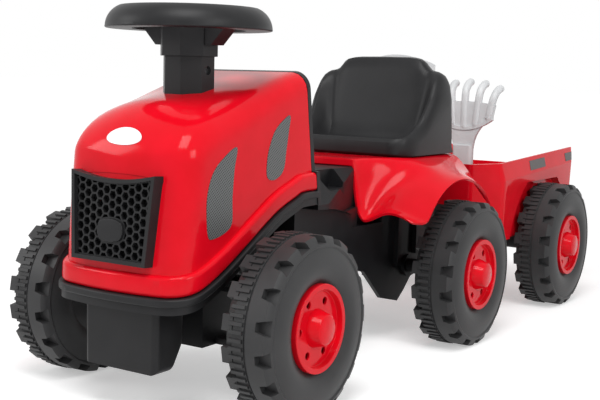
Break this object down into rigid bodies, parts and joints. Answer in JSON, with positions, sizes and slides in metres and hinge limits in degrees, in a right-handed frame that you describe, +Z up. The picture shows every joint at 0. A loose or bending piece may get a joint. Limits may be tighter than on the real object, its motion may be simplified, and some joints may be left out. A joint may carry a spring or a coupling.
{
  "type": "ride on toy tractor with trailer",
  "caption": "Ride-on toy tractor: hood with honeycomb grille, bucket seat, steering wheel that turns the front wheels through a tie rod, and a hitched tub trailer holding a rake and a shovel.",
  "frame": {"origin": "floor level under the middle of the whole length, on the middle plane", "axes": "+Y from the hood towards the trailer's tail, +Z up, +X to the tractor's left"},
  "size_m": [0.344, 0.9374, 0.389],
  "materials": {
    "red": "glossy moulded plastic, red all through",
    "dark_grey": "satin moulded plastic",
    "black": "matte moulded plastic",
    "tyre_grey": "matte blow-moulded plastic",
    "light_grey": "satin moulded plastic",
    "steel": "bright zinc plated"
  },
  "bodies": {
    "chassis": {"chassis": "black", "hood": "red", "front_bumper": "dark_grey", "dash_panel": "dark_grey", "grille": "dark_grey", "grille_badge": "dark_grey", "front_weight": "dark_grey", "weight_screws": "steel", "rear_body": "red", "seat": "dark_grey", "seat_screws": "steel", "kingpins": "steel", "rear_axle": "steel", "rear_axle_spacer_left": "black", "rear_axle_spacer_right": "black", "rear_left_axle_retainer": "steel", "rear_right_axle_retainer": "steel", "hitch_pin": "steel"},
    "steering": {"steering_wheel": "dark_grey", "steering_column": "dark_grey", "steering_shaft": "steel", "column_screw": "steel", "steering_crank": "black"},
    "horn": {"horn_button": "dark_grey"},
    "tie_rod": {"tie_rod": "black"},
    "left_knuckle": {"front_left_knuckle": "black", "front_left_stub_axle": "steel", "front_left_axle_retainer": "steel"},
    "right_knuckle": {"front_right_knuckle": "black", "front_right_stub_axle": "steel", "front_right_axle_retainer": "steel"},
    "trailer": {"trailer_tub": "red", "tub_screws": "steel", "trailer_frame": "black", "trailer_axle": "steel", "trailer_axle_spacer_left": "black", "trailer_axle_spacer_right": "black", "trailer_left_axle_retainer": "steel", "trailer_right_axle_retainer": "steel"},
    "rake": {"rake": "light_grey"},
    "shovel": {"shovel": "light_grey"},
    "front_left_wheel": {"front_left_tyre": "tyre_grey", "front_left_hub": "red", "front_left_hub_cap": "red"},
    "front_right_wheel": {"front_right_tyre": "tyre_grey", "front_right_hub": "red", "front_right_hub_cap": "red"},
    "rear_left_wheel": {"rear_left_tyre": "tyre_grey", "rear_left_hub": "red", "rear_left_hub_cap": "red"},
    "rear_right_wheel": {"rear_right_tyre": "tyre_grey", "rear_right_hub": "red", "rear_right_hub_cap": "red"},
    "trailer_left_wheel": {"trailer_left_tyre": "tyre_grey", "trailer_left_hub": "red", "trailer_left_hub_cap": "red"},
    "trailer_right_wheel": {"trailer_right_tyre": "tyre_grey", "trailer_right_hub": "red", "trailer_right_hub_cap": "red"}
  },
  "joints": [
    {"name": "steering_turn", "type": "hinge", "parent": "chassis", "child": "steering", "pos_m": [0, -0.3525, 0.3], "axis": [0, 0, 1], "range_deg": [-15, 15]},
    {"name": "horn_press", "type": "slide", "parent": "steering", "child": "horn", "axis": [0, 0, -1], "range_m": [0, 0.003], "stiffness_N_per_m": 600, "springref_m": -0.001},
    {"name": "tie_rod_turn", "type": "hinge", "parent": "steering", "child": "tie_rod", "pos_m": [0, -0.3125, 0.1145], "axis": [0, 0, 1], "range_deg": [-15, 15]},
    {"name": "left_knuckle_turn", "type": "hinge", "parent": "chassis", "child": "left_knuckle", "pos_m": [0.086, -0.3525, 0.088], "axis": [0, 0, 1], "range_deg": [-15, 15]},
    {"name": "right_knuckle_turn", "type": "hinge", "parent": "chassis", "child": "right_knuckle", "pos_m": [-0.086, -0.3525, 0.088], "axis": [0, 0, 1], "range_deg": [-15, 15]},
    {"name": "trailer_yaw", "type": "hinge", "parent": "chassis", "child": "trailer", "pos_m": [0, 0.1095, 0.094], "axis": [0, 0, 1], "range_deg": [-30, 30]},
    {"name": "rake_lift", "type": "slide", "parent": "trailer", "child": "rake", "axis": [0, 0, 1], "range_m": [0, 0.2]},
    {"name": "shovel_lift", "type": "slide", "parent": "trailer", "child": "shovel", "axis": [0, 0, 1], "range_m": [0, 0.2]},
    {"name": "front_left_wheel_spin", "type": "hinge", "parent": "left_knuckle", "child": "front_left_wheel", "pos_m": [0.1385, -0.3525, 0.088], "axis": [1, 0, 0], "continuous": true},
    {"name": "front_right_wheel_spin", "type": "hinge", "parent": "right_knuckle", "child": "front_right_wheel", "pos_m": [-0.1385, -0.3525, 0.088], "axis": [1, 0, 0], "continuous": true},
    {"name": "rear_left_wheel_spin", "type": "hinge", "parent": "chassis", "child": "rear_left_wheel", "pos_m": [0.1385, 0.0145, 0.088], "axis": [1, 0, 0], "continuous": true},
    {"name": "rear_right_wheel_spin", "type": "hinge", "parent": "chassis", "child": "rear_right_wheel", "pos_m": [-0.1385, 0.0145, 0.088], "axis": [1, 0, 0], "continuous": true},
    {"name": "trailer_left_wheel_spin", "type": "hinge", "parent": "trailer", "child": "trailer_left_wheel", "pos_m": [0.1385, 0.3265, 0.088], "axis": [1, 0, 0], "continuous": true},
    {"name": "trailer_right_wheel_spin", "type": "hinge", "parent": "trailer", "child": "trailer_right_wheel", "pos_m": [-0.1385, 0.3265, 0.088], "axis": [1, 0, 0], "continuous": true}
  ],
  "couplings": [
    {"joint": "tie_rod_turn", "follows": "steering_turn", "ratio": -1},
    {"joint": "left_knuckle_turn", "follows": "steering_turn", "ratio": 1},
    {"joint": "right_knuckle_turn", "follows": "steering_turn", "ratio": 1}
  ]
}
